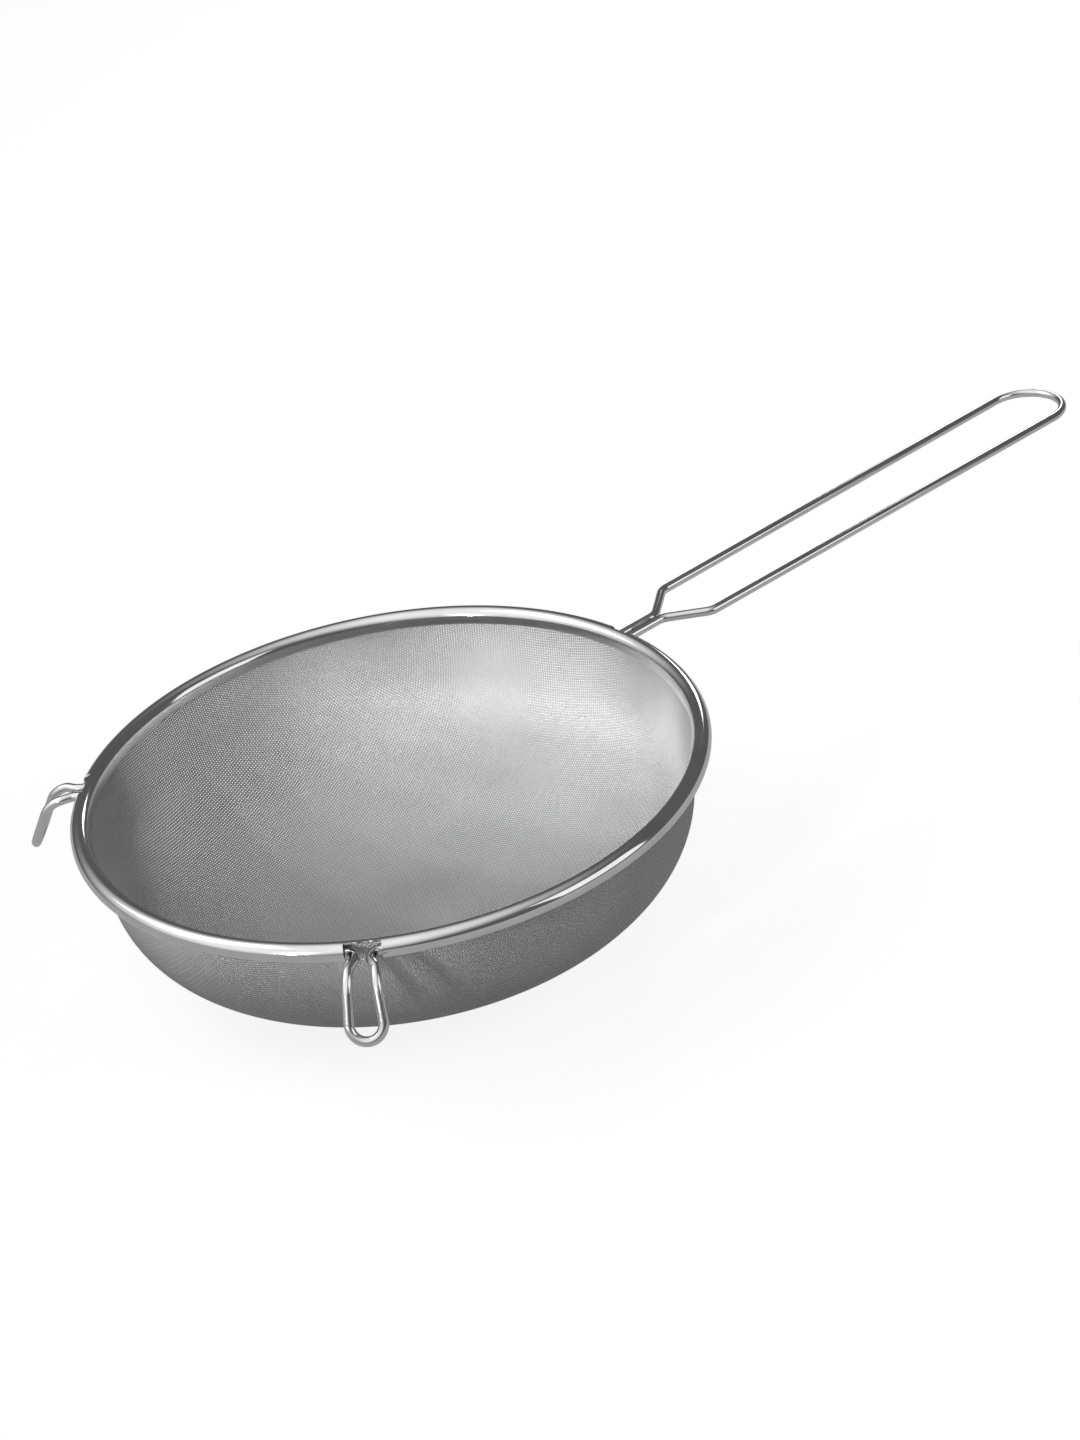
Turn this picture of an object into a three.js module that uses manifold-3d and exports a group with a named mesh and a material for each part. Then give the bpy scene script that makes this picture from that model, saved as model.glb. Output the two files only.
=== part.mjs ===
// A round mesh strainer: a pressed bowl of woven wire, a folded steel band round its edge,
// a long wire loop handle and two wire hooks that rest on the edge of a pot.
// Millimetres, +Z up. The bowl's axis is Z, its flat underside is at Z = 0, the handle runs along +X.

import * as THREE from 'three';
import { mergeVertices } from 'three/addons/utils/BufferGeometryUtils.js';
import Module from 'manifold-3d';

const wasm = await Module();
wasm.setup();

// Rim: the folded band
const RIM_OUTER_RADIUS = 100;
const BAND_RADIUS = 3;
const BAND_SHEET = 0.5;
const BAND_OUTER_LIP = 60 * Math.PI / 180;
const BAND_INNER_SKIRT = 2.2;
const NOTCH_CLEARANCE = 0.5;

// Bowl: the pressed woven cloth
const BOWL_DEPTH = 52.3;
const CLOTH_THICKNESS = 0.7;
const WALL_DRAFT = 9 * Math.PI / 180;
const KNUCKLE_RADIUS = 26.7;
const BOTTOM_SLOPE = 20 * Math.PI / 180;
const BOTTOM_FLAT_RADIUS = 14;

// Plain grid of openings in the bowl, for the far finer gaps of the weave
const OPENINGS_ROUND = 24;
const INNER_OPENINGS_ROUND = 12;
const BOTTOM_OUTER_ROWS = 2;
const KNUCKLE_ROWS = 2;
const BAR_SHARE = 1 / 3;

// Wire that the handle, the hooks and the core of the rim are bent from
const WIRE_DIAMETER = 3;
const BEND_RADIUS = 2.6;

// Handle loop, measured outward from the wire's line in the rim
const HANDLE_FOOT = 20;
const HANDLE_NECK_GAP = 0.4;
const HANDLE_NECK_END = 17.5;
const HANDLE_SHOULDER = 31;
const HANDLE_WIDTH_AT_SHOULDER = 24.4;
const HANDLE_WIDTH_AT_END = 27;
const HANDLE_REACH = 214;
const HANDLE_CORNER_RADIUS = 6;

// Hooks, measured outward from the wire's line in the rim along the bent wire
const HOOK_SPREAD = 47 * Math.PI / 180;
const HOOK_FOOT = 12;
const HOOK_NECK_WIDTH = 4.8;
const HOOK_NECK_END = 4.6;
const HOOK_SHOULDER = 8;
const HOOK_WIDTH_AT_SHOULDER = 7.8;
const HOOK_WIDTH_AT_END = 9.8;
const HOOK_LENGTH = 29.2;
const HOOK_CORNER_RADIUS = 3;
const HOOK_DROP_START = 6.3;
const HOOK_DROP_RADIUS = 9;
const HOOK_DROP_ANGLE = 62 * Math.PI / 180;

// Weld at the handle's neck
const WELD_RADIUS = 0.7;
const WELD_LENGTH = 8;

// Clearance between pieces that touch on the real strainer
const SEAT = 0.3;

// Fineness of the faceted shapes
const ROUND_STEPS = 72;
const ARC_STEP = 18 * Math.PI / 180;
const WIRE_SIDES = 8;
const FOOT_STEP = 6;

// Sizes that follow from those above
const wireRadius = WIRE_DIAMETER / 2;
const bandCentre = RIM_OUTER_RADIUS - BAND_RADIUS;
const bandInside = BAND_RADIUS - BAND_SHEET;
const clothInner = bandInside - SEAT;
const clothOuter = clothInner - CLOTH_THICKNESS;
const wireOffset = wireRadius + SEAT - clothOuter;
const wireLine = bandCentre + wireOffset;
const wireHeight = BOWL_DEPTH - wireOffset;

// Materials
const clothSteel = { color: 0x9a9a9a, roughness: 0.45, metalness: 0.9 };
const polishedSteel = { color: 0xd4d4d4, roughness: 0.15, metalness: 1 };
const weldSteel = { color: 0xa8a8a8, roughness: 0.5, metalness: 0.9 };

const strainer = new THREE.Group();

function addPiece(name, geometry, finish) {
  const mesh = new THREE.Mesh(geometry, new THREE.MeshStandardMaterial(finish));
  mesh.name = name;
  strainer.add(mesh);
  return mesh;
}

// Points along an arc about a centre, both ends included
function arcPoints(centreX, centreY, radius, from, to, step = ARC_STEP) {
  const count = Math.max(1, Math.ceil(Math.abs(to - from) / step - 1e-6));
  const points = [];
  for (let i = 0; i <= count; i += 1) {
    const angle = from + (to - from) * i / count;
    points.push(new THREE.Vector2(centreX + radius * Math.cos(angle), centreY + radius * Math.sin(angle)));
  }
  return points;
}

// A profile of radius and height turned about Z
function turned(profile) {
  const geometry = new THREE.LatheGeometry(profile, ROUND_STEPS);
  geometry.rotateX(Math.PI / 2);
  return geometry;
}

// Bare merged triangles as a solid for cutting
function toSolid(geometry) {
  const bare = geometry.clone();
  bare.deleteAttribute('normal');
  bare.deleteAttribute('uv');
  const merged = mergeVertices(bare, 1e-4);
  const vertProperties = new Float32Array(merged.attributes.position.array);
  const triVerts = new Uint32Array(merged.index.array);
  return new wasm.Manifold(new wasm.Mesh({ numProp: 3, vertProperties, triVerts }));
}

function toGeometry(solid) {
  const mesh = solid.getMesh();
  const geometry = new THREE.BufferGeometry();
  geometry.setAttribute('position', new THREE.BufferAttribute(new Float32Array(mesh.vertProperties), 3));
  geometry.setIndex(new THREE.BufferAttribute(new Uint32Array(mesh.triVerts), 1));
  geometry.computeVertexNormals();
  return geometry;
}

// A wire's middle line: straight runs keep only their ends, so the points set the steps
class WireLine extends THREE.Curve {
  constructor(points) {
    super();
    this.points = points;
  }

  getPoint(t, target = new THREE.Vector3()) {
    const place = Math.min(Math.max(t, 0), 1) * (this.points.length - 1);
    const first = Math.min(Math.floor(place), this.points.length - 2);
    return target.lerpVectors(this.points[first], this.points[first + 1], place - first);
  }

  getUtoTmapping(u) {
    return u;
  }
}

function wireGeometry(points) {
  const turn = Math.PI / WIRE_SIDES;
  const outline = arcPoints(0, 0, wireRadius, turn, turn + 2 * Math.PI, 2 * turn).slice(0, -1);
  const section = new THREE.Shape(outline);
  const extrudePath = new WireLine(points);
  return new THREE.ExtrudeGeometry(section, { steps: points.length - 1, extrudePath, bevelEnabled: false });
}

// A bent wire laid flat: straight runs between corners, each corner rounded to its own radius
function bentLine(corners) {
  const points = [corners[0].at.clone()];
  for (let i = 1; i < corners.length - 1; i += 1) {
    const { at, radius } = corners[i];
    const back = corners[i - 1].at.clone().sub(at).normalize();
    const ahead = corners[i + 1].at.clone().sub(at).normalize();
    const half = Math.acos(THREE.MathUtils.clamp(back.dot(ahead), -1, 1)) / 2;
    const bisector = back.clone().add(ahead).normalize();
    const centre = at.clone().addScaledVector(bisector, radius / Math.sin(half));
    const reach = radius / Math.tan(half);
    const start = at.clone().addScaledVector(back, reach).sub(centre).angle();
    const end = at.clone().addScaledVector(ahead, reach).sub(centre).angle();
    const sweep = Math.atan2(Math.sin(end - start), Math.cos(end - start));
    points.push(...arcPoints(centre.x, centre.y, radius, start, start + sweep));
  }
  points.push(corners[corners.length - 1].at.clone());
  return points;
}

// One side of an omega-shaped wire form, from its foot in the rim to the loop's end.
// x runs along the rim and y outward from the wire's line in the rim.
function omegaSide(form) {
  const corner = (x, y, radius) => ({ at: new THREE.Vector2(x, y), radius });
  const footSteps = Math.ceil(form.foot / FOOT_STEP);
  const foot = [];
  for (let i = 0; i < footSteps; i += 1) {
    foot.push(new THREE.Vector2(form.neck / 2 + BEND_RADIUS + form.foot * (1 - i / footSteps), 0));
  }
  const bent = bentLine([
    corner(form.neck / 2 + BEND_RADIUS, 0, 0),
    corner(form.neck / 2, 0, BEND_RADIUS),
    corner(form.neck / 2, form.neckEnd, form.cornerRadius),
    corner(form.loopWidth / 2, form.loopStart, form.cornerRadius),
    corner(form.endWidth / 2, form.reach - form.endWidth / 2, 0),
  ]);
  return [...foot, ...bent.slice(1)];
}

// The whole form: one side, the round end, then the other side mirrored
function omegaForm(form) {
  const side = omegaSide(form);
  const endRadius = form.endWidth / 2;
  const end = arcPoints(0, form.reach - endRadius, endRadius, 0, Math.PI).slice(1, -1);
  const mirrored = side.map((point) => new THREE.Vector2(-point.x, point.y)).reverse();
  return [...side, ...end, ...mirrored];
}

// A flat form set on the rim at a bearing: its feet follow the rim, and drop bends it downward
function setOnRim(flat, bearing, drop) {
  return flat.map((point) => {
    const outward = Math.sqrt((wireLine + point.y) ** 2 - point.x ** 2) - wireLine;
    const bent = drop(outward);
    const placed = new THREE.Vector3(wireLine + bent.x, point.x, wireHeight + bent.y);
    return placed.applyAxisAngle(new THREE.Vector3(0, 0, 1), bearing);
  });
}

const level = (outward) => new THREE.Vector2(outward, 0);

// Straight out, round a bend, then straight down at the drop angle
function hookDrop(outward) {
  const bend = HOOK_DROP_RADIUS * HOOK_DROP_ANGLE;
  const along = Math.max(outward - HOOK_DROP_START, 0);
  const angle = Math.min(along, bend) / HOOK_DROP_RADIUS;
  const tail = Math.max(along - bend, 0);
  const x = Math.min(outward, HOOK_DROP_START) + HOOK_DROP_RADIUS * Math.sin(angle) + tail * Math.cos(angle);
  const y = -HOOK_DROP_RADIUS * (1 - Math.cos(angle)) - tail * Math.sin(angle);
  return new THREE.Vector2(x, y);
}

const handleForm = {
  neck: WIRE_DIAMETER + HANDLE_NECK_GAP,
  foot: HANDLE_FOOT,
  neckEnd: HANDLE_NECK_END,
  loopStart: HANDLE_SHOULDER,
  loopWidth: HANDLE_WIDTH_AT_SHOULDER,
  endWidth: HANDLE_WIDTH_AT_END,
  reach: HANDLE_REACH,
  cornerRadius: HANDLE_CORNER_RADIUS,
};

const hookForm = {
  neck: HOOK_NECK_WIDTH,
  foot: HOOK_FOOT,
  neckEnd: HOOK_NECK_END,
  loopStart: HOOK_SHOULDER,
  loopWidth: HOOK_WIDTH_AT_SHOULDER,
  endWidth: HOOK_WIDTH_AT_END,
  reach: HOOK_LENGTH,
  cornerRadius: HOOK_CORNER_RADIUS,
};

const forms = [
  { name: 'handle_wire', form: handleForm, bearing: 0, drop: level },
  { name: 'hook_wire_left', form: hookForm, bearing: Math.PI - HOOK_SPREAD, drop: hookDrop },
  { name: 'hook_wire_front', form: hookForm, bearing: Math.PI + HOOK_SPREAD, drop: hookDrop },
];

// Bowl of woven cloth: flat underside, shallow bottom, knuckle, wall, edge turned over the core wire.
// Each row between two points of the profile has a count of openings round the bowl.
function bowlSkins() {
  const wallTop = bandCentre - clothOuter;
  const wallSlope = Math.PI / 2 - WALL_DRAFT;
  const knuckleWidth = KNUCKLE_RADIUS * (Math.sin(wallSlope) - Math.sin(BOTTOM_SLOPE));
  const knuckleRise = KNUCKLE_RADIUS * (Math.cos(BOTTOM_SLOPE) - Math.cos(wallSlope));
  const rise = Math.tan(BOTTOM_SLOPE / 2);
  const wallLength = (BOWL_DEPTH - knuckleRise - (wallTop - knuckleWidth - BOTTOM_FLAT_RADIUS) * rise)
    / (Math.cos(WALL_DRAFT) - Math.sin(WALL_DRAFT) * rise);
  const wallFoot = wallTop - wallLength * Math.sin(WALL_DRAFT);
  const wallFootHeight = BOWL_DEPTH - wallLength * Math.cos(WALL_DRAFT);
  const knuckleX = wallFoot - KNUCKLE_RADIUS * Math.sin(wallSlope);
  const knuckleY = wallFootHeight + KNUCKLE_RADIUS * Math.cos(wallSlope);
  const bottomRadius = (wallFoot - knuckleWidth - BOTTOM_FLAT_RADIUS) / Math.sin(BOTTOM_SLOPE);

  const row = (round) => [0, round, round];
  const rows = (count) => Array(count).fill(row(OPENINGS_ROUND)).flat();
  const bottom = [...row(INNER_OPENINGS_ROUND), ...rows(BOTTOM_OUTER_ROWS)];
  const knuckle = rows(KNUCKLE_ROWS);
  const wall = [...rows(1), 0];
  const openings = [0, ...bottom, ...knuckle, ...wall];

  const down = -Math.PI / 2;
  const bend = down + BOTTOM_SLOPE;
  const bottomStep = BOTTOM_SLOPE / bottom.length;
  const knuckleStep = (wallSlope - BOTTOM_SLOPE) / knuckle.length;
  const skin = (inset) => {
    const edgeRadius = clothOuter + inset;
    const turnedEdge = arcPoints(bandCentre, BOWL_DEPTH, edgeRadius, Math.PI - WALL_DRAFT, Math.PI / 2);
    const points = [
      new THREE.Vector2(0, inset),
      ...arcPoints(BOTTOM_FLAT_RADIUS, bottomRadius, bottomRadius - inset, down, bend, bottomStep),
      ...arcPoints(knuckleX, knuckleY, KNUCKLE_RADIUS - inset, bend, -WALL_DRAFT, knuckleStep).slice(1),
    ];
    const foot = points[points.length - 1];
    for (let i = 1; i < wall.length; i += 1) {
      points.push(foot.clone().lerp(turnedEdge[0], i / wall.length));
    }
    return [...points, ...turnedEdge];
  };
  return { outside: skin(0), inside: skin(CLOTH_THICKNESS), openings };
}

// A skin of some thickness turned about Z, with openings left out of its grid of rows and steps
function openShell({ outside, inside, openings }) {
  const count = outside.length;
  const position = [];
  const index = [];
  for (const point of [...outside, ...inside]) {
    for (let step = 0; step < ROUND_STEPS; step += 1) {
      const angle = 2 * Math.PI * step / ROUND_STEPS;
      position.push(point.x * Math.cos(angle), point.x * Math.sin(angle), point.y);
    }
  }
  const corner = (skin, row, step) => {
    const turn = row === 0 ? 0 : (step + ROUND_STEPS) % ROUND_STEPS;
    return (skin * count + row) * ROUND_STEPS + turn;
  };
  const triangle = (a, b, c) => {
    if (a !== b && b !== c && c !== a) {
      index.push(a, b, c);
    }
  };
  const face = (a, b, c, d) => {
    triangle(a, b, c);
    triangle(a, c, d);
  };
  const isOpen = (row, step) => {
    if (row < 0 || row > count - 2) {
      return true;
    }
    const round = openings[row] ?? 0;
    const period = ROUND_STEPS / round;
    const place = (step + 0.5 + period / 2 + ROUND_STEPS) % period;
    return round > 0 && Math.abs(place - period / 2) < (1 - BAR_SHARE) * period / 2;
  };
  for (let row = 0; row < count - 1; row += 1) {
    for (let step = 0; step < ROUND_STEPS; step += 1) {
      if (isOpen(row, step)) {
        continue;
      }
      const round = [[row, step], [row + 1, step], [row + 1, step + 1], [row, step + 1]];
      const beside = [[row, step - 1], [row + 1, step], [row, step + 1], [row - 1, step]];
      const outer = round.map(([i, k]) => corner(0, i, k));
      const inner = round.map(([i, k]) => corner(1, i, k));
      face(...inner);
      face(...outer.toReversed());
      for (let side = 0; side < 4; side += 1) {
        const next = (side + 1) % 4;
        if (isOpen(...beside[side])) {
          face(inner[next], inner[side], outer[side], outer[next]);
        }
      }
    }
  }
  const geometry = new THREE.BufferGeometry();
  geometry.setAttribute('position', new THREE.Float32BufferAttribute(position, 3));
  geometry.setIndex(index);
  return toGeometry(toSolid(geometry));
}

// Band: folded over the core wire and the cloth's edge, its inner side lying along the wall
function bandProfile() {
  const skirtTop = Math.PI - WALL_DRAFT;
  const side = (radius) => {
    const arc = arcPoints(bandCentre, BOWL_DEPTH, radius, -BAND_OUTER_LIP, skirtTop);
    const last = arc[arc.length - 1];
    const drop = new THREE.Vector2(-Math.sin(WALL_DRAFT), -Math.cos(WALL_DRAFT));
    return [...arc, last.clone().addScaledVector(drop, BAND_INNER_SKIRT)];
  };
  const outside = side(BAND_RADIUS);
  const inside = side(bandInside).reverse();
  return [...outside, ...inside, outside[0].clone()];
}

// A notch opens the band's outer half where a wire form leaves the rim
function notchCutter({ form, bearing }) {
  const halfWidth = form.neck / 2 + BEND_RADIUS + NOTCH_CLEARANCE;
  const depth = 2 * BAND_RADIUS;
  const height = 4 * BAND_RADIUS;
  const box = new THREE.BoxGeometry(depth, 2 * halfWidth, height);
  box.translate(bandCentre + wireOffset + depth / 2, 0, BOWL_DEPTH);
  box.rotateZ(bearing);
  return toSolid(box);
}

// Core wire in the rim, from the end of one form's foot to the next
function coreWire(from, to) {
  const footEnd = ({ form }) => {
    const along = form.neck / 2 + BEND_RADIUS + form.foot;
    return Math.asin(along / wireLine) + SEAT / wireLine;
  };
  const start = from.bearing + footEnd(from);
  const end = to.bearing + (to.bearing <= from.bearing ? 2 * Math.PI : 0) - footEnd(to);
  const arc = arcPoints(0, 0, wireLine, start, end, 2 * Math.PI / ROUND_STEPS);
  return wireGeometry(arc.map((point) => new THREE.Vector3(point.x, point.y, wireHeight)));
}

// Weld bead lying in the groove between the two wires of the handle's neck
function neckWeld(side) {
  const halfGap = (WIRE_DIAMETER + HANDLE_NECK_GAP) / 2;
  const apart = wireRadius + WELD_RADIUS + SEAT;
  const lift = Math.sqrt(apart ** 2 - halfGap ** 2);
  const bead = new THREE.CylinderGeometry(WELD_RADIUS, WELD_RADIUS, WELD_LENGTH, WIRE_SIDES);
  bead.rotateZ(Math.PI / 2);
  bead.translate(wireLine + (BEND_RADIUS + HANDLE_NECK_END) / 2, 0, wireHeight + side * lift);
  return bead;
}

addPiece('mesh_bowl', openShell(bowlSkins()), clothSteel);

let band = toSolid(turned(bandProfile()));
for (const form of forms) {
  band = band.subtract(notchCutter(form));
}
addPiece('rim_band', toGeometry(band), polishedSteel);

for (const { name, form, bearing, drop } of forms) {
  addPiece(name, wireGeometry(setOnRim(omegaForm(form), bearing, drop)), polishedSteel);
}

const [handle, leftHook, frontHook] = forms;
addPiece('core_wire_back', coreWire(handle, leftHook), polishedSteel);
addPiece('core_wire_left', coreWire(leftHook, frontHook), polishedSteel);
addPiece('core_wire_front', coreWire(frontHook, handle), polishedSteel);

addPiece('neck_weld_top', neckWeld(1), weldSteel);
addPiece('neck_weld_bottom', neckWeld(-1), weldSteel);

export default strainer;
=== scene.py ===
"""A wire mesh strainer on a pale floor: woven cloth bowl, folded steel rim, wire handle and hooks."""

import math

import bpy
import numpy as np
from mathutils import Matrix, Vector


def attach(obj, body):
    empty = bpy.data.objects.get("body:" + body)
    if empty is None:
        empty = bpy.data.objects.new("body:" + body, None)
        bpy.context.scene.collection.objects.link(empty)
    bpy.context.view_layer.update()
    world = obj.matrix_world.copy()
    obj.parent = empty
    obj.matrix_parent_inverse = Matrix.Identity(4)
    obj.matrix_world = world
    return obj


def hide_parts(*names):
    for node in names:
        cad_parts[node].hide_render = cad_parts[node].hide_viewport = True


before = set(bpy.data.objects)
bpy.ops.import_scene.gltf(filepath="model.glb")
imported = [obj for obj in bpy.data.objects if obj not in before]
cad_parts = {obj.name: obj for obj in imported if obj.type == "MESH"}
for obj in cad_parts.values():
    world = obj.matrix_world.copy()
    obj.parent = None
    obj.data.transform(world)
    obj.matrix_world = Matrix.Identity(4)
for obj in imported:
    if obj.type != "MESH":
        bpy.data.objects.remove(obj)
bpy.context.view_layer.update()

MM = 0.001
UP = np.array([0.0, 0.0, 1.0])

# Rim, bowl and wire sizes in millimetres, as in the solids
RIM_OUTER_RADIUS = 100.0
BAND_RADIUS = 3.0
BAND_SHEET = 0.5
BAND_OUTER_LIP = math.radians(60)
BAND_INNER_SKIRT = 2.2
NOTCH_CLEARANCE = 0.5
BOWL_DEPTH = 52.3
CLOTH_THICKNESS = 0.7
WALL_DRAFT = math.radians(9)
KNUCKLE_RADIUS = 26.7
BOTTOM_SLOPE = math.radians(20)
BOTTOM_FLAT_RADIUS = 14.0
WIRE_DIAMETER = 3.0
BEND_RADIUS = 2.6
SEAT = 0.3
HANDLE_NECK_GAP = 0.4
HANDLE = dict(
    foot=20.0, neck=WIRE_DIAMETER + HANDLE_NECK_GAP, neck_end=17.5, loop_start=31.0,
    loop_width=24.4, end_width=27.0, reach=214.0, corner=6.0,
)
HOOK = dict(
    foot=12.0, neck=4.8, neck_end=4.6, loop_start=8.0,
    loop_width=7.8, end_width=9.8, reach=29.2, corner=3.0,
)
HOOK_SPREAD = math.radians(47)
HOOK_DROP_START = 6.3
HOOK_DROP_RADIUS = 9.0
HOOK_DROP_ANGLE = math.radians(62)
WELD_LENGTH = 8.0
WELD_RADIUS = 0.62
WELD_LIFT = 1.15
WELD_RIPPLE = 0.9
WELD_RIPPLE_DEPTH = 0.08
WELD_TIP = 0.02

# Woven cloth
WEAVE_PITCH = 0.9
WEAVE_WIRE = 0.56
WEAVE_TURN = math.radians(20)
CLOTH_INSIDE_BAND = 1.0
CLOTH_STRIPS = 4

# Fineness
WIRE_SIDES = 24
WIRE_STEP = 0.6
BEND_STEPS = 16
LOOP_END_STEPS = 40
CORE_STEPS = 160
RIM_STEPS = 480
BAND_STEPS = 44
BAND_EDGE_STEPS = 6
WELD_RINGS = 60
WELD_SIDES = 16
SHARP_ANGLE = math.radians(35)

# Search for the cloth's edge and for the crossings of its wires
CLOTH_LONGEST = 300.0
CLOTH_EDGE_CLOSE = 1e-6
CROSSING_TRIES = 12
CROSSING_CLOSE = 1e-9
CROSSING_FLAT = 1e-12

wire_radius = WIRE_DIAMETER / 2
band_centre = RIM_OUTER_RADIUS - BAND_RADIUS
band_inside = BAND_RADIUS - BAND_SHEET
cloth_outer = band_inside - SEAT - CLOTH_THICKNESS
wire_offset = wire_radius + SEAT - cloth_outer
wire_line = band_centre + wire_offset
wire_height = BOWL_DEPTH - wire_offset


# Meshes

def new_piece(name, verts, faces, material, node, spread=None):
    """A smooth mesh in millimetres that rides on the strainer and stands for one solid.

    spread, where it is given, lays the faces out flat, one place for each face corner.
    """
    mesh = bpy.data.meshes.new(name)
    mesh.from_pydata((np.asarray(verts) * MM).tolist(), [], faces)
    mesh.update()
    mesh.polygons.foreach_set("use_smooth", [True] * len(mesh.polygons))
    if spread is not None:
        mesh.uv_layers.new(name="OFBake").data.foreach_set("uv", spread.ravel())
    piece = bpy.data.objects.new(name, mesh)
    bpy.context.scene.collection.objects.link(piece)
    mesh.materials.append(material)
    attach(piece, "root")
    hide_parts(node)
    return piece


def arc(cx, cy, radius, start, end, steps):
    angles = np.linspace(start, end, steps + 1)
    return np.column_stack([cx + radius * np.cos(angles), cy + radius * np.sin(angles)])


def unit(vectors):
    return vectors / np.linalg.norm(vectors, axis=-1, keepdims=True)


def tube_faces(rings, sides, first=0):
    """Quads between rings of points, and a face over each end."""
    faces = []
    for ring in range(rings - 1):
        for side in range(sides):
            a = first + ring * sides + side
            b = first + ring * sides + (side + 1) % sides
            faces.append((a, b, b + sides, a + sides))
    faces.append(tuple(first + side for side in reversed(range(sides))))
    faces.append(tuple(first + (rings - 1) * sides + side for side in range(sides)))
    return faces


def tube(points, radii, sides=WIRE_SIDES):
    """A round wire along points, with frames carried along without twist."""
    points = np.asarray(points, float)
    radii = np.broadcast_to(radii, len(points))
    tangents = unit(np.gradient(points, axis=0))
    side = unit(np.cross(UP, tangents[0]))
    angles = np.linspace(0, 2 * math.pi, sides, endpoint=False)
    verts = []
    for point, tangent, radius in zip(points, tangents, radii):
        side = unit(side - tangent * (side @ tangent))
        other = np.cross(tangent, side)
        verts.append(point + radius * (np.outer(np.cos(angles), side) + np.outer(np.sin(angles), other)))
    return np.concatenate(verts), tube_faces(len(points), sides)


# Wire forms

def bent_line(corners):
    """Straight runs between corners, each rounded to its own radius, as close points."""
    runs = [np.array(corners[0][0], float)]
    for (before, _), (at, radius), (after, _) in zip(corners, corners[1:], corners[2:]):
        before, at, after = (np.array(p, float) for p in (before, at, after))
        back, ahead = unit(before - at), unit(after - at)
        half = math.acos(np.clip(back @ ahead, -1, 1)) / 2
        centre = at + unit(back + ahead) * radius / math.sin(half)
        reach = radius / math.tan(half)
        start = math.atan2(*(at + back * reach - centre)[::-1])
        end = math.atan2(*(at + ahead * reach - centre)[::-1])
        sweep = (end - start + math.pi) % (2 * math.pi) - math.pi
        runs.extend(arc(*centre, radius, start, start + sweep, BEND_STEPS))
    runs.append(np.array(corners[-1][0], float))
    return runs


def close_points(points, step):
    """Points added on long runs, so that no two lie further apart than a step."""
    out = [points[0]]
    for a, b in zip(points, points[1:]):
        count = max(1, math.ceil(np.linalg.norm(b - a) / step))
        out.extend(a + (b - a) * (k + 1) / count for k in range(count))
    return np.array(out)


def omega_form(form):
    """Foot, neck, loop, round end and the mirrored other side, flat: x along the rim, y outward."""
    neck = form["neck"] / 2
    end_radius = form["end_width"] / 2
    side = bent_line([
        ((neck + BEND_RADIUS + form["foot"], 0), 0),
        ((neck, 0), BEND_RADIUS),
        ((neck, form["neck_end"]), form["corner"]),
        ((form["loop_width"] / 2, form["loop_start"]), form["corner"]),
        ((end_radius, form["reach"] - end_radius), 0),
    ])
    end = list(arc(0, form["reach"] - end_radius, end_radius, 0, math.pi, LOOP_END_STEPS)[1:-1])
    mirrored = [point * (-1, 1) for point in reversed(side)]
    return close_points([*side, *end, *mirrored], WIRE_STEP)


def hook_drop(outward):
    bend = HOOK_DROP_RADIUS * HOOK_DROP_ANGLE
    along = np.maximum(outward - HOOK_DROP_START, 0)
    angle = np.minimum(along, bend) / HOOK_DROP_RADIUS
    tail = np.maximum(along - bend, 0)
    x = np.minimum(outward, HOOK_DROP_START) + HOOK_DROP_RADIUS * np.sin(angle) + tail * np.cos(angle)
    return x, -HOOK_DROP_RADIUS * (1 - np.cos(angle)) - tail * np.sin(angle)


def turn_about_axis(points, bearing):
    c, s = math.cos(bearing), math.sin(bearing)
    return points @ np.array([[c, s, 0], [-s, c, 0], [0, 0, 1]])


def set_on_rim(flat, bearing, drop):
    outward = np.sqrt((wire_line + flat[:, 1]) ** 2 - flat[:, 0] ** 2) - wire_line
    x, z = drop(outward)
    placed = np.column_stack([wire_line + x, flat[:, 0], wire_height + z])
    return turn_about_axis(placed, bearing)


def level(outward):
    return outward, np.zeros_like(outward)


FORMS = [
    ("handle_wire", HANDLE, 0.0, level),
    ("hook_wire_left", HOOK, math.pi - HOOK_SPREAD, hook_drop),
    ("hook_wire_front", HOOK, math.pi + HOOK_SPREAD, hook_drop),
]


def foot_end(form):
    return math.asin((form["neck"] / 2 + BEND_RADIUS + form["foot"]) / wire_line) + SEAT / wire_line


# Rim band

def band_profile():
    """The folded strip's section, with half-round edges."""
    top = math.pi - WALL_DRAFT
    drop = np.array([-math.sin(WALL_DRAFT), -math.cos(WALL_DRAFT)])
    outside = arc(band_centre, BOWL_DEPTH, BAND_RADIUS, -BAND_OUTER_LIP, top, BAND_STEPS)
    inside = arc(band_centre, BOWL_DEPTH, band_inside, -BAND_OUTER_LIP, top, BAND_STEPS)
    middle = BAND_RADIUS - BAND_SHEET / 2
    lip, fold_end = arc(band_centre, BOWL_DEPTH, middle, -BAND_OUTER_LIP, top, 1)
    skirt = fold_end + drop * BAND_INNER_SKIRT
    half = BAND_SHEET / 2
    skirt_edge = arc(*skirt, half, top, top + math.pi, BAND_EDGE_STEPS)
    lip_edge = arc(*lip, half, -BAND_OUTER_LIP - math.pi, -BAND_OUTER_LIP, BAND_EDGE_STEPS)
    return np.concatenate([outside[1:], skirt_edge, inside[::-1], lip_edge[1:-1], outside[:1]])


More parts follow.
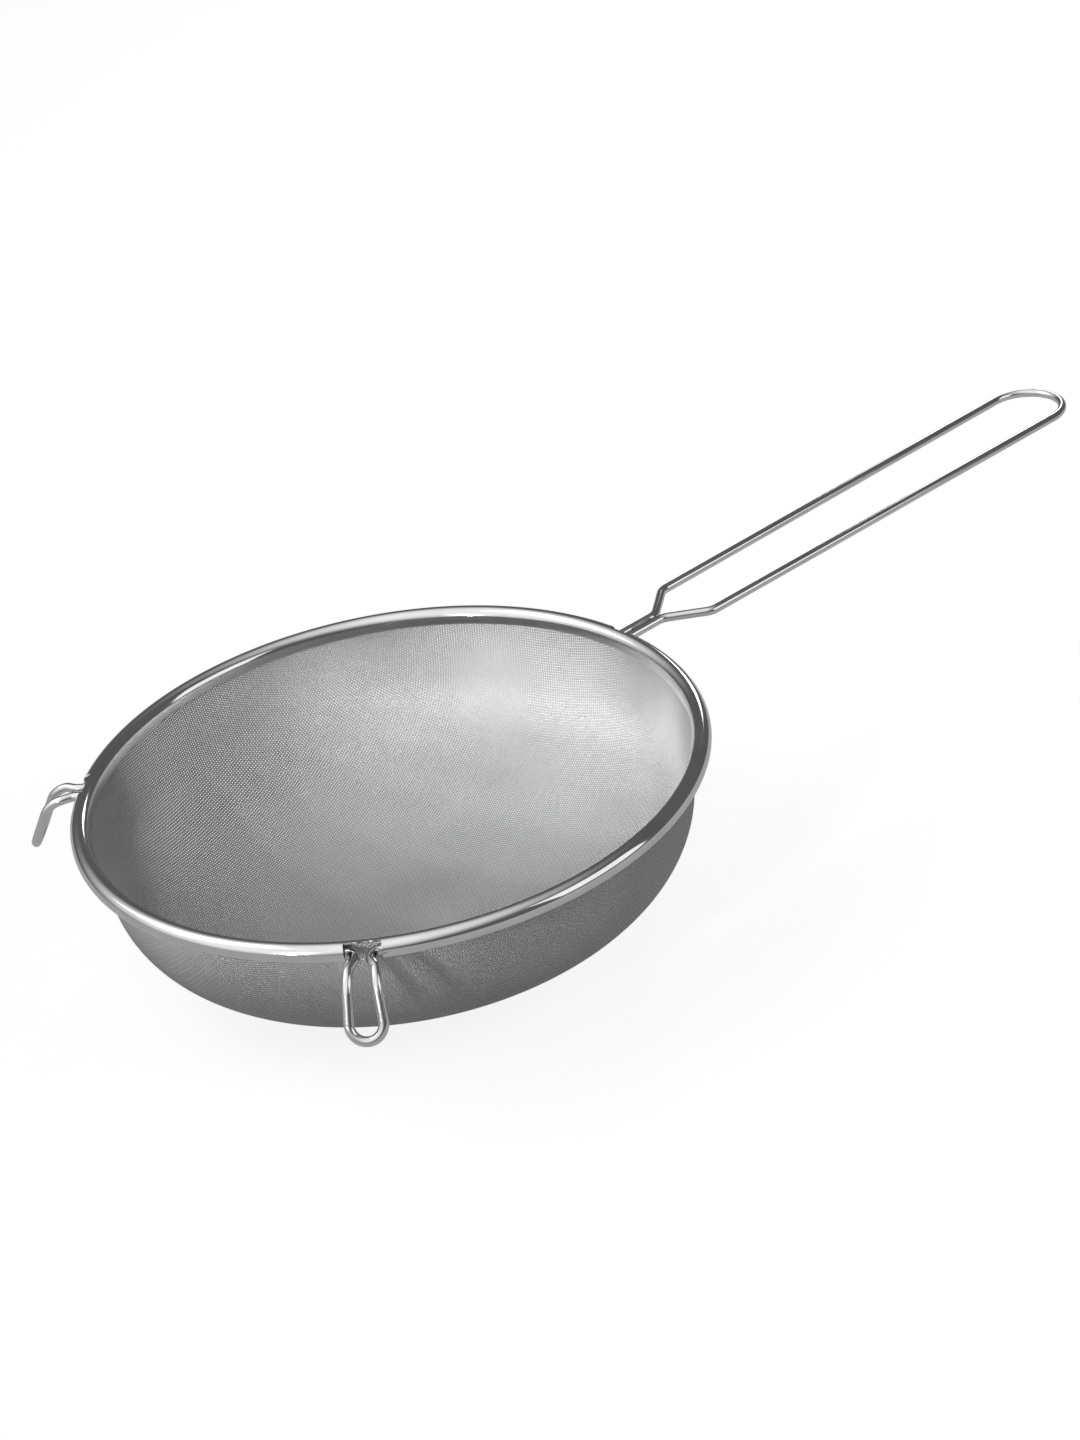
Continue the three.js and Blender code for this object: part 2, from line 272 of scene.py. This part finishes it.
def turned(profile, steps):
    """A closed section turned about the bowl's axis."""
    angles = np.linspace(0, 2 * math.pi, steps, endpoint=False)
    c, s = np.cos(angles), np.sin(angles)
    rings = [np.column_stack([r * c, r * s, np.full(steps, z)]) for r, z in profile]
    count = len(profile)
    faces = []
    for row in range(count):
        below = (row + 1) % count
        for k in range(steps):
            n = (k + 1) % steps
            faces.append((row * steps + k, row * steps + n, below * steps + n, below * steps + k))
    return np.concatenate(rings), faces


def cut_notches(band):
    """Open the band's outer half where each wire form leaves it."""
    for name, form, bearing, _ in FORMS:
        half = form["neck"] / 2 + BEND_RADIUS + NOTCH_CLEARANCE
        size = Vector((2 * BAND_RADIUS, 2 * half, 4 * BAND_RADIUS)) * MM
        middle = Vector((wire_line + BAND_RADIUS, 0, BOWL_DEPTH)) * MM
        bpy.ops.mesh.primitive_cube_add(size=1)
        cutter = bpy.context.object
        place = Matrix.Rotation(bearing, 4, "Z") @ Matrix.Translation(middle)
        cutter.data.transform(place @ Matrix.Diagonal((*size, 1)))
        cut = band.modifiers.new("notch_" + name, "BOOLEAN")
        cut.object = cutter
        cut.solver = "EXACT"
        bpy.context.view_layer.objects.active = band
        bpy.ops.object.modifier_apply(modifier=cut.name)
        bpy.data.objects.remove(cutter)
    band.data.polygons.foreach_set("use_smooth", [True] * len(band.data.polygons))
    band.data.set_sharp_from_angle(angle=SHARP_ANGLE)


# Woven cloth

def bowl_lines():
    """Radius of the bottom's curve and centre of the knuckle, for the bowl's outer skin."""
    wall_top = band_centre - cloth_outer
    slope = math.pi / 2 - WALL_DRAFT
    width = KNUCKLE_RADIUS * (math.sin(slope) - math.sin(BOTTOM_SLOPE))
    height = KNUCKLE_RADIUS * (math.cos(BOTTOM_SLOPE) - math.cos(slope))
    rise = math.tan(BOTTOM_SLOPE / 2)
    wall = BOWL_DEPTH - height - (wall_top - width - BOTTOM_FLAT_RADIUS) * rise
    wall /= math.cos(WALL_DRAFT) - math.sin(WALL_DRAFT) * rise
    foot = wall_top - wall * math.sin(WALL_DRAFT)
    foot_height = BOWL_DEPTH - wall * math.cos(WALL_DRAFT)
    centre = (foot - KNUCKLE_RADIUS * math.sin(slope), foot_height + KNUCKLE_RADIUS * math.cos(slope))
    bottom = (foot - width - BOTTOM_FLAT_RADIUS) / math.sin(BOTTOM_SLOPE)
    return bottom, centre


bottom_radius, knuckle_centre = bowl_lines()


def cloth_line(s):
    """Radius, height and their rates at a distance along the cloth's middle from the bowl's centre."""
    inset = CLOTH_THICKNESS / 2
    curve = bottom_radius - inset
    knuckle = KNUCKLE_RADIUS - inset
    steepest = math.pi / 2 - WALL_DRAFT
    if s <= BOTTOM_FLAT_RADIUS:
        return s, inset, 1.0, 0.0
    s -= BOTTOM_FLAT_RADIUS
    if s <= curve * BOTTOM_SLOPE:
        a = s / curve
        r = BOTTOM_FLAT_RADIUS + curve * math.sin(a)
        return r, bottom_radius - curve * math.cos(a), math.cos(a), math.sin(a)
    s -= curve * BOTTOM_SLOPE
    a = min(BOTTOM_SLOPE + s / knuckle, steepest)
    wall = max(s - knuckle * (steepest - BOTTOM_SLOPE), 0)
    r = knuckle_centre[0] + knuckle * math.sin(a) + wall * math.cos(a)
    z = knuckle_centre[1] - knuckle * math.cos(a) + wall * math.sin(a)
    return r, z, math.cos(a), math.sin(a)


def cloth_end():
    """Distance along the cloth to its edge, hidden inside the band."""
    low, high = 0.0, CLOTH_LONGEST
    while high - low > CLOTH_EDGE_CLOSE:
        middle = (low + high) / 2
        if cloth_line(middle)[1] < BOWL_DEPTH + CLOTH_INSIDE_BAND:
            low = middle
        else:
            high = middle
    return low


def misfit(s, bearing, neighbour, pitch):
    """How far a place on the cloth is from one pitch away, squared, and its rates along and round."""
    r, z, dr, dz = cloth_line(s)
    c, n = math.cos(bearing), math.sin(bearing)
    x, y, up = r * c - neighbour[0], r * n - neighbour[1], z - neighbour[2]
    along = 2 * (x * dr * c + y * dr * n + up * dz)
    around = 2 * r * (y * c - x * n)
    return x ** 2 + y ** 2 + up ** 2 - pitch ** 2, along, around


def drape(pitch, end):
    """Crossings of a square cloth pressed into the bowl, for one quarter: (i, j) to distance and bearing.

    Each crossing lies one pitch from its two neighbours nearer the middle, so the wires keep
    their length and the cloth takes the bowl's shape by shearing.
    """
    net = {}
    for i in range(int(end / pitch) + 2):
        net[i, 0] = (i * pitch, 0.0)
    place = {}

    def at(key):
        if key not in place:
            s, bearing = net[key]
            r, z, _, _ = cloth_line(s)
            place[key] = (r * math.cos(bearing), r * math.sin(bearing), z)
        return place[key]

    def crossing(i, j):
        if j <= i:
            return net.get((i, j))
        found = net.get((j, i))
        return found and (found[0], math.pi / 2 - found[1])

    def point(i, j):
        if j <= i:
            return at((i, j))
        x, y, z = at((j, i))
        return y, x, z

    for i in range(1, int(end / pitch) + 2):
        for j in range(1, i + 1):
            first, second = crossing(i - 1, j), crossing(i, j - 1)
            if not first or not second or min(first[0], second[0]) > end:
                break
            a, b = point(i - 1, j), point(i, j - 1)
            d = point(i - 1, j - 1)
            s = first[0] + second[0] - crossing(i - 1, j - 1)[0]
            bearing = math.atan2(a[1] + b[1] - d[1], a[0] + b[0] - d[0])
            for _ in range(CROSSING_TRIES):
                miss_a, along_a, around_a = misfit(s, bearing, a, pitch)
                miss_b, along_b, around_b = misfit(s, bearing, b, pitch)
                det = along_a * around_b - around_a * along_b
                if abs(det) < CROSSING_FLAT:
                    break
                s -= (miss_a * around_b - around_a * miss_b) / det
                bearing -= (along_a * miss_b - miss_a * along_b) / det
                if abs(miss_a) + abs(miss_b) < CROSSING_CLOSE:
                    break
            net[i, j] = (s, bearing)
    return net


def weave_wires(net, pitch, end, across):
    """Middle lines of all wires one way, woven over and under, cut at the cloth's edge."""
    lift = (CLOTH_THICKNESS - WEAVE_WIRE) / 2
    most = int(end / pitch) + 1

    def node(i, j):
        a, b = abs(i), abs(j)
        found = net.get((a, b)) if b <= a else net.get((b, a))
        if not found:
            return None
        s, bearing = found if b <= a else (found[0], math.pi / 2 - found[1])
        if i < 0:
            bearing = math.pi - bearing
        if j < 0:
            bearing = -bearing
        return s, bearing

    wires = []
    for fixed in range(-most, most + 1):
        run = []
        for moving in range(-most, most + 1):
            i, j = (fixed, moving) if across else (moving, fixed)
            found = node(i, j)
            if found:
                run.append((found[0], found[1], 1 if (i + j) % 2 == across else -1))
        inside = [k for k, (s, _, _) in enumerate(run) if s <= end]
        if len(inside) < 3:
            continue
        first, last = inside[0], inside[-1]
        chosen = run[first:last + 1]
        for edge, beyond in ((0, first - 1), (-1, last + 1)):
            if 0 <= beyond < len(run):
                s0, b0, side = chosen[edge]
                s1, b1, _ = run[beyond]
                part = (end - s0) / (s1 - s0)
                turn = (b1 - b0 + math.pi) % (2 * math.pi) - math.pi
                tip = (end, b0 + turn * part, side * (1 - 2 * part))
                chosen = [tip] + chosen if edge == 0 else chosen + [tip]
        middle, normals, flat = [], [], []
        for s, bearing, side in chosen:
            r, z, dr, dz = cloth_line(s)
            c, n = math.cos(bearing), math.sin(bearing)
            normal = np.array([-dz * c, -dz * n, dr])
            normals.append(normal)
            middle.append(np.array([r * c, r * n, z]) + normal * lift * side)
            flat.append((0.5 + s * c / end / 2, 0.5 + s * n / end / 2))
        wires.append((np.array(middle), np.array(normals), np.array(flat)))
    return wires


def flat_corners(flat, half):
    """Face corners of one wire laid out flat: each stretch as wide as the gap to the next wire."""
    run = np.diff(flat, axis=0)
    aside = half * unit(np.column_stack([-run[:, 1], run[:, 0]]))
    low, high = flat[:-1], flat[1:]
    stretch = np.stack([low - aside, low + aside, high + aside, high - aside], axis=1)
    ends = stretch[[0, -1]].reshape(-1, 2)
    return np.concatenate([np.repeat(stretch, 4, axis=0).reshape(-1, 2), ends])


def weave_piece(name, wires, end, material):
    """One strip of cloth: each wire a four-sided tube with a ring at each crossing."""
    verts, faces, spread, first = [], [], [], 0
    radius = WEAVE_WIRE / 2
    for middle, normals, flat in wires:
        tangents = unit(np.gradient(middle, axis=0))
        sides = unit(np.cross(tangents, normals))
        lifts = np.cross(sides, tangents)
        ring = np.stack([middle + radius * sides, middle + radius * lifts,
                         middle - radius * sides, middle - radius * lifts], axis=1)
        verts.append(turn_about_axis(ring.reshape(-1, 3), WEAVE_TURN))
        faces.extend(tube_faces(len(middle), 4, first))
        spread.append(flat_corners(flat, WEAVE_PITCH / end / 4))
        first += 4 * len(middle)
    verts, spread = np.concatenate(verts), np.concatenate(spread)
    return new_piece(name, verts, faces, material, "mesh_bowl", spread)


# Materials

STEEL_GRAIN = 4.0
STEEL_TONES = (0.3, 0.7)


def steel(name, colour, roughness, spread, scale, metal=1.0):
    """Steel whose tone and gloss wander a little, as drawn and polished wire does."""
    material = bpy.data.materials.new(name)
    material.use_nodes = True
    nodes, links = material.node_tree.nodes, material.node_tree.links
    shader = nodes["Principled BSDF"]
    shader.inputs["Metallic"].default_value = metal
    place = nodes.new("ShaderNodeTexCoord")
    noise = nodes.new("ShaderNodeTexNoise")
    noise.inputs["Scale"].default_value = scale
    noise.inputs["Detail"].default_value = STEEL_GRAIN
    links.new(place.outputs["Object"], noise.inputs["Vector"])
    tone = nodes.new("ShaderNodeValToRGB")
    for element, position in zip(tone.color_ramp.elements, STEEL_TONES):
        element.position = position
    tone.color_ramp.elements[0].color = (*[c * (1 - spread) for c in colour], 1)
    tone.color_ramp.elements[1].color = (*colour, 1)
    links.new(noise.outputs["Fac"], tone.inputs["Fac"])
    links.new(tone.outputs["Color"], shader.inputs["Base Color"])
    gloss = nodes.new("ShaderNodeMapRange")
    gloss.inputs["To Min"].default_value = roughness * (1 - spread)
    gloss.inputs["To Max"].default_value = roughness * (1 + spread)
    links.new(noise.outputs["Fac"], gloss.inputs["Value"])
    links.new(gloss.outputs["Result"], shader.inputs["Roughness"])
    return material


polished = steel("polished_steel", (0.7, 0.7, 0.7), 0.09, 0.12, 60.0)
welded = steel("weld_steel", (0.45, 0.45, 0.45), 0.4, 0.3, 900.0)
woven = steel("woven_steel", (0.56, 0.56, 0.56), 0.5, 0.15, 25.0, 0.35)

# Strainer

for name, form, bearing, drop in FORMS:
    verts, faces = tube(set_on_rim(omega_form(form), bearing, drop), wire_radius)
    new_piece(name + "_polished", verts, faces, polished, name)

CORES = [
    ("core_wire_back", FORMS[0], FORMS[1]),
    ("core_wire_left", FORMS[1], FORMS[2]),
    ("core_wire_front", FORMS[2], FORMS[0]),
]
for name, (_, from_form, from_bearing, _), (_, to_form, to_bearing, _) in CORES:
    start = from_bearing + foot_end(from_form)
    end = to_bearing + (2 * math.pi if to_bearing <= from_bearing else 0) - foot_end(to_form)
    line = arc(0, 0, wire_line, start, end, CORE_STEPS)
    verts, faces = tube(np.column_stack([line, np.full(len(line), wire_height)]), wire_radius)
    new_piece(name + "_polished", verts, faces, polished, name)

verts, faces = turned(band_profile(), RIM_STEPS)
band = new_piece("rim_band_polished", verts, faces, polished, "rim_band")
cut_notches(band)

for name, side in (("neck_weld_top", 1), ("neck_weld_bottom", -1)):
    along = np.linspace(-WELD_LENGTH / 2, WELD_LENGTH / 2, WELD_RINGS)
    swell = np.sqrt(np.maximum(1 - (2 * along / WELD_LENGTH) ** 2, WELD_TIP))
    ripple = 1 + WELD_RIPPLE_DEPTH * np.sin(along * 2 * math.pi / WELD_RIPPLE)
    middle = np.column_stack([
        wire_line + (BEND_RADIUS + HANDLE["neck_end"]) / 2 + along,
        np.zeros_like(along),
        np.full_like(along, wire_height + side * WELD_LIFT),
    ])
    verts, faces = tube(middle, WELD_RADIUS * swell * ripple, WELD_SIDES)
    new_piece(name + "_bead", verts, faces, welded, name)

end = cloth_end()
net = drape(WEAVE_PITCH, end)
for name, across in (("cloth_warp", 0), ("cloth_weft", 1)):
    wires = weave_wires(net, WEAVE_PITCH, end, across)
    for strip in range(CLOTH_STRIPS):
        first, last = (len(wires) * k // CLOTH_STRIPS for k in (strip, strip + 1))
        weave_piece(f"{name}_{strip + 1}", wires[first:last], end, woven)

# Camera at the photograph's viewing angle; pixels are in a frame of 1080 by 1440
FRAME_WIDTH, FRAME_HEIGHT = 1080, 1440
SENSOR = 36.0
CLIP_START, CLIP_END = 0.01, 50.0
CAMERA_DISTANCE = 900.0
CAMERA_ELEVATION = math.radians(30.0)
CAMERA_BEARING = math.radians(-126.3)
CAMERA_ROLL = math.radians(-9.8)
PIXELS_PER_MM = 3.2366
RIM_CENTRE_PIXEL = (389.8, 768.4)


def add_camera():
    back = np.array([
        math.cos(CAMERA_BEARING) * math.cos(CAMERA_ELEVATION),
        math.sin(CAMERA_BEARING) * math.cos(CAMERA_ELEVATION),
        math.sin(CAMERA_ELEVATION),
    ])
    level_right = unit(np.cross(-back, UP))
    level_up = np.cross(level_right, -back)
    c, s = math.cos(CAMERA_ROLL), math.sin(CAMERA_ROLL)
    right = c * level_right + s * level_up
    up = c * level_up - s * level_right
    aside = (RIM_CENTRE_PIXEL[0] - FRAME_WIDTH / 2) / PIXELS_PER_MM
    above = (RIM_CENTRE_PIXEL[1] - FRAME_HEIGHT / 2) / PIXELS_PER_MM
    spot = BOWL_DEPTH * UP + back * CAMERA_DISTANCE - right * aside + up * above
    data = bpy.data.cameras.new("camera")
    data.sensor_fit = "VERTICAL"
    data.sensor_height = SENSOR
    data.lens = PIXELS_PER_MM * CAMERA_DISTANCE / FRAME_HEIGHT * SENSOR
    data.clip_start = CLIP_START
    data.clip_end = CLIP_END
    camera = bpy.data.objects.new("camera", data)
    bpy.context.scene.collection.objects.link(camera)
    turn = Matrix((right, up, back)).transposed().to_4x4()
    camera.matrix_world = Matrix.Translation(Vector(spot * MM)) @ turn
    bpy.context.scene.camera = camera


add_camera()

# White floor, a room that is bright above the side away from the handle, and lamps

FLOOR_SIZE = 10.0
FLOOR_DROP = 0.0005
FLOOR_COLOUR = 0.6
FLOOR_GLOW = {"Is Camera Ray": 0.82, "Is Glossy Ray": 0.3, "Is Transmission Ray": 0.82}
ROOM_BRIGHT_SIDE = (-0.55, 0.15, 0.82)
ROOM_DARK = 0.13
ROOM_BRIGHT = 1.25
ROOM_LIGHT_SHARE = 0.15
ROOM_DARK_UNTIL = 0.3
ROOM_BRIGHT_FROM = 0.95
LAMP_DISTANCE = 1.4
LAMP_TARGET = (0, 0, 0.03)
SOFT_LAMPS = [
    dict(name="left_lamp", bearing=130, elevation=50, size=0.9, watts=2.0),
    dict(name="right_lamp", bearing=-60, elevation=28, size=0.9, watts=3.0),
    dict(name="far_lamp", bearing=34, elevation=22, size=0.25, watts=0.9),
]
MOUTH_BEAM_WIDTH = 0.19
MOUTH_BEAM_BLEND = 0.2
MOUTH_LAMP_BEARING = 195
MOUTH_LAMP_ELEVATIONS = (12, 15, 19, 24, 31)
MOUTH_LAMP_SIZE = 0.06
MOUTH_LAMP_WATTS = 24.0


def white_floor():
    """A floor that is white to the eye and in the steel, and an ordinary pale one as a source of light."""
    mesh = bpy.data.meshes.new("floor")
    corners = [(-FLOOR_SIZE, -FLOOR_SIZE, 0), (FLOOR_SIZE, -FLOOR_SIZE, 0)]
    corners += [(FLOOR_SIZE, FLOOR_SIZE, 0), (-FLOOR_SIZE, FLOOR_SIZE, 0)]
    mesh.from_pydata(corners, [], [(0, 1, 2, 3)])
    floor = bpy.data.objects.new("floor", mesh)
    floor.location.z = -FLOOR_DROP
    bpy.context.scene.collection.objects.link(floor)
    material = bpy.data.materials.new("white_floor")
    material.use_nodes = True
    nodes, links = material.node_tree.nodes, material.node_tree.links
    shader = nodes["Principled BSDF"]
    shader.inputs["Base Color"].default_value = (FLOOR_COLOUR, FLOOR_COLOUR, FLOOR_COLOUR, 1)
    shader.inputs["Roughness"].default_value = 1.0
    shader.inputs["Specular IOR Level"].default_value = 0.0
    shader.inputs["Emission Color"].default_value = (1, 1, 1, 1)
    path = nodes.new("ShaderNodeLightPath")
    glow = None
    for ray, level in FLOOR_GLOW.items():
        part = nodes.new("ShaderNodeMath")
        part.operation = "MULTIPLY_ADD"
        part.inputs[1].default_value = level
        part.inputs[2].default_value = 0.0
        links.new(path.outputs[ray], part.inputs[0])
        if glow:
            links.new(glow, part.inputs[2])
        glow = part.outputs["Value"]
    links.new(glow, shader.inputs["Emission Strength"])
    mesh.materials.append(material)


def room():
    """Light from all round, falling from the bright side to the dark side, and white to the eye."""
    world = bpy.data.worlds.new("room")
    bpy.context.scene.world = world
    world.use_nodes = True
    nodes, links = world.node_tree.nodes, world.node_tree.links
    place = nodes.new("ShaderNodeTexCoord")
    side = nodes.new("ShaderNodeVectorMath")
    side.operation = "DOT_PRODUCT"
    side.inputs[1].default_value = Vector(ROOM_BRIGHT_SIDE).normalized()
    links.new(place.outputs["Generated"], side.inputs[0])
    light = nodes.new("ShaderNodeMapRange")
    light.interpolation_type = "SMOOTHSTEP"
    light.inputs["From Min"].default_value = ROOM_DARK_UNTIL
    light.inputs["From Max"].default_value = ROOM_BRIGHT_FROM
    light.inputs["To Min"].default_value = ROOM_DARK
    light.inputs["To Max"].default_value = ROOM_BRIGHT
    links.new(side.outputs["Value"], light.inputs["Value"])
    nodes["Background"].inputs["Color"].default_value = (1, 1, 1, 1)
    path = nodes.new("ShaderNodeLightPath")
    share = nodes.new("ShaderNodeMapRange")
    share.inputs["To Min"].default_value = 1.0
    share.inputs["To Max"].default_value = ROOM_LIGHT_SHARE
    links.new(path.outputs["Is Diffuse Ray"], share.inputs["Value"])
    strength = nodes.new("ShaderNodeMath")
    strength.operation = "MULTIPLY"
    links.new(light.outputs["Result"], strength.inputs[0])
    links.new(share.outputs["Result"], strength.inputs[1])
    seen = nodes.new("ShaderNodeMath")
    seen.operation = "MAXIMUM"
    links.new(strength.outputs["Value"], seen.inputs[0])
    links.new(path.outputs["Is Camera Ray"], seen.inputs[1])
    links.new(seen.outputs["Value"], nodes["Background"].inputs["Strength"])


def hang_lamp(name, kind, bearing, elevation, target, watts):
    """A lamp at a bearing and an elevation in degrees, turned to its target."""
    around = math.radians(bearing)
    above = math.radians(elevation)
    way = Vector((math.cos(around) * math.cos(above), math.sin(around) * math.cos(above), math.sin(above)))
    data = bpy.data.lights.new(name, kind)
    data.energy = watts
    lamp = bpy.data.objects.new(name, data)
    lamp.location = Vector(target) + way * LAMP_DISTANCE
    lamp.rotation_euler = (-way).to_track_quat("-Z", "Y").to_euler()
    bpy.context.scene.collection.objects.link(lamp)
    return lamp


def soft_lamp(name, bearing, elevation, size, watts):
    """A wide square lamp."""
    lamp = hang_lamp(name, "AREA", bearing, elevation, LAMP_TARGET, watts)
    lamp.data.shape = "SQUARE"
    lamp.data.size = size


def mouth_lamps():
    """A row of narrow beams over the near edge into the bowl, each as wide and tall as its mouth looks."""
    mouth = (0, 0, BOWL_DEPTH * MM)
    for elevation in MOUTH_LAMP_ELEVATIONS:
        name = f"mouth_lamp_{elevation}"
        lamp = hang_lamp(name, "SPOT", MOUTH_LAMP_BEARING, elevation, mouth, MOUTH_LAMP_WATTS)
        lamp.data.spot_size = 2 * math.atan(MOUTH_BEAM_WIDTH / 2 / LAMP_DISTANCE)
        lamp.data.spot_blend = MOUTH_BEAM_BLEND
        lamp.data.shadow_soft_size = MOUTH_LAMP_SIZE / 2
        lamp.scale = (1, math.sin(math.radians(elevation)), 1)


white_floor()
room()
mouth_lamps()
for lamp in SOFT_LAMPS:
    soft_lamp(**lamp)

bpy.context.scene.view_settings.view_transform = "Standard"
